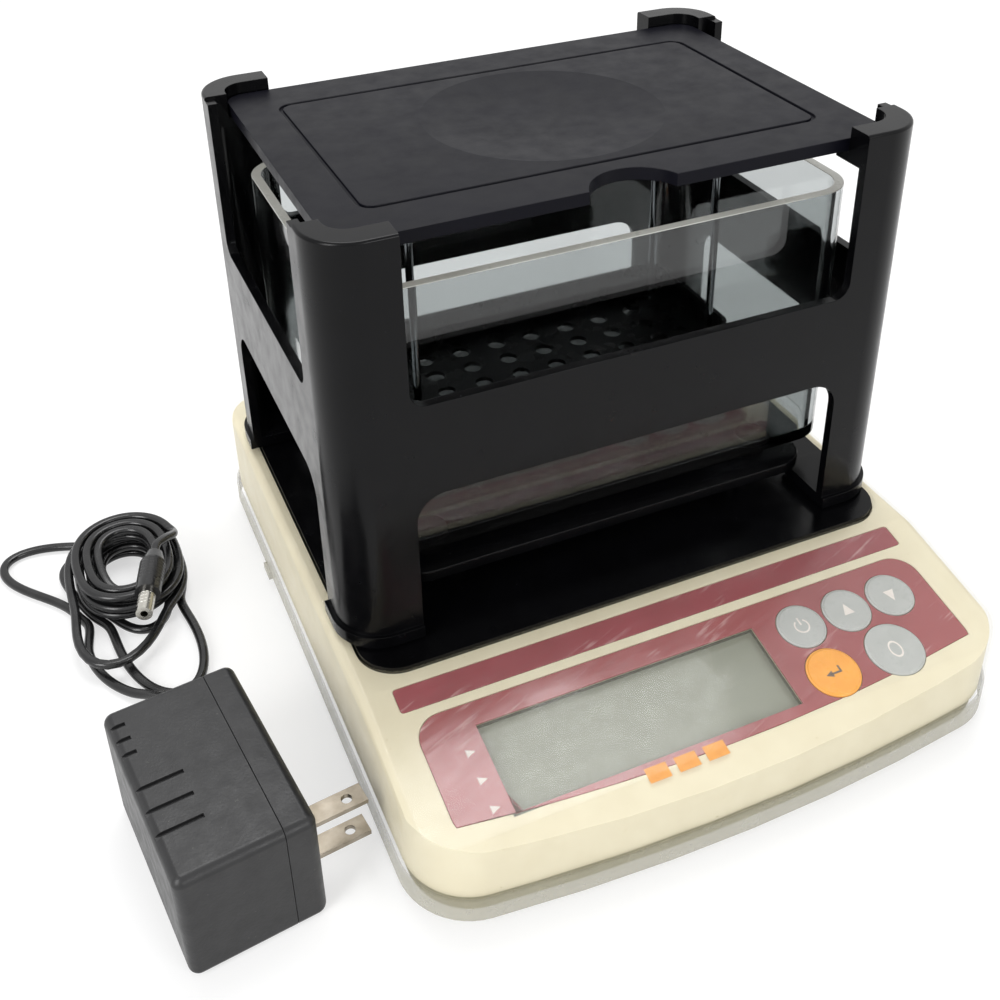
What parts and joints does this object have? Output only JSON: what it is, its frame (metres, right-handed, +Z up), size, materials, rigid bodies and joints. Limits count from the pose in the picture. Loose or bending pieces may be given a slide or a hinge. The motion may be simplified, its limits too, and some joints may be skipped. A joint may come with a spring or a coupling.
{
  "type": "electronic gold tester",
  "caption": "Bench density tester: a balance with a sloping keypad, a black stage round a clear water tank, a lid with a basket, and a plug-in adapter.",
  "frame": {"origin": "on the table, under the middle of the base with its cover", "axes": "+X to the right of the person at the keys, +Y to the back, +Z up"},
  "size_m": [0.2853, 0.2242, 0.1745],
  "materials": {
    "cream_shell": "satin moulded plastic",
    "grey_shell": "satin moulded plastic",
    "clear_cover": "clear moulded plastic",
    "clear_tank": "clear acrylic",
    "maroon_film": "printed film",
    "display_glass": "clear window",
    "lcd": "display glass",
    "black_gloss": "polished black plastic",
    "black_plastic": "matte black plastic",
    "rubber_black": "rubber",
    "key_grey": "silicone key",
    "key_orange": "silicone key",
    "board_green": "circuit board",
    "board_brown": "circuit board",
    "steel": "plated steel",
    "cell_aluminium": "machined",
    "core_steel": "laminated steel",
    "copper_winding": "enamelled wire",
    "blade_brass": "plated brass",
    "barrel_metal": "plated",
    "capacitor_sleeve": "shrink sleeve"
  },
  "bodies": {
    "base": {"upper_housing": "cream_shell", "lower_housing": "grey_shell", "rubber_feet": "rubber_black", "housing_screws": "steel", "dust_cover": "clear_cover", "title_strip": "maroon_film", "keypad_overlay": "maroon_film", "display_window": "display_glass", "lcd_panel": "lcd", "lcd_holder": "black_plastic", "contact_strips": "rubber_black", "main_board": "board_green", "board_screws": "steel", "key_switches": "black_plastic", "cell_base": "cell_aluminium", "load_cell": "cell_aluminium", "cell_screws": "steel", "overload_stop": "steel", "cell_leads": "rubber_black", "dc_jack": "black_plastic", "base_tray": "black_gloss", "tank_table": "black_gloss", "table_screws": "steel", "adapter_case": "black_plastic", "adapter_face": "black_plastic", "adapter_blades": "blade_brass", "transformer_core": "core_steel", "transformer_winding": "copper_winding", "rectifier_board": "board_brown", "smoothing_capacitor": "capacitor_sleeve", "adapter_strain_relief": "rubber_black", "cord_lead": "rubber_black", "cord_hank": "rubber_black", "cord_tail": "rubber_black", "dc_plug_body": "rubber_black", "dc_plug_barrel": "barrel_metal"},
    "stage": {"stage_frame": "black_gloss", "pan_support": "cell_aluminium", "pan_screws": "steel"},
    "lid": {"stage_lid": "black_gloss", "basket_hangers": "steel", "water_basket": "black_gloss", "basket_nuts": "steel"},
    "tank": {"water_tank": "clear_tank", "tank_pads": "clear_tank"},
    "key_power": {"key_power": "key_grey"},
    "key_left": {"key_left": "key_grey"},
    "key_right": {"key_right": "key_grey"},
    "key_enter": {"key_enter": "key_orange"},
    "key_zero": {"key_zero": "key_grey"}
  },
  "joints": [
    {"name": "weigh_travel", "type": "slide", "parent": "base", "child": "stage", "axis": [0, 0, 1], "range_m": [-0.0004, 0.0001], "stiffness_N_per_m": 30000, "springref_m": 0.00008},
    {"name": "lid_lift", "type": "slide", "parent": "stage", "child": "lid", "axis": [0, 0, 1], "range_m": [0, 0.25]},
    {"name": "tank_lift", "type": "slide", "parent": "base", "child": "tank", "axis": [0, 0, 1], "range_m": [0, 0.125]},
    {"name": "key_power_press", "type": "slide", "parent": "base", "child": "key_power", "axis": [0, -0.1925, 0.9813], "range_m": [-0.0006, 0], "stiffness_N_per_m": 400},
    {"name": "key_left_press", "type": "slide", "parent": "base", "child": "key_left", "axis": [0, -0.1925, 0.9813], "range_m": [-0.0006, 0], "stiffness_N_per_m": 400},
    {"name": "key_right_press", "type": "slide", "parent": "base", "child": "key_right", "axis": [0, -0.1925, 0.9813], "range_m": [-0.0006, 0], "stiffness_N_per_m": 400},
    {"name": "key_enter_press", "type": "slide", "parent": "base", "child": "key_enter", "axis": [0, -0.1925, 0.9813], "range_m": [-0.0006, 0], "stiffness_N_per_m": 400},
    {"name": "key_zero_press", "type": "slide", "parent": "base", "child": "key_zero", "axis": [0, -0.1925, 0.9813], "range_m": [-0.0006, 0], "stiffness_N_per_m": 400}
  ],
  "couplings": [
    {"joint": "tank_lift", "follows": "lid_lift", "ratio": 0.5}
  ]
}
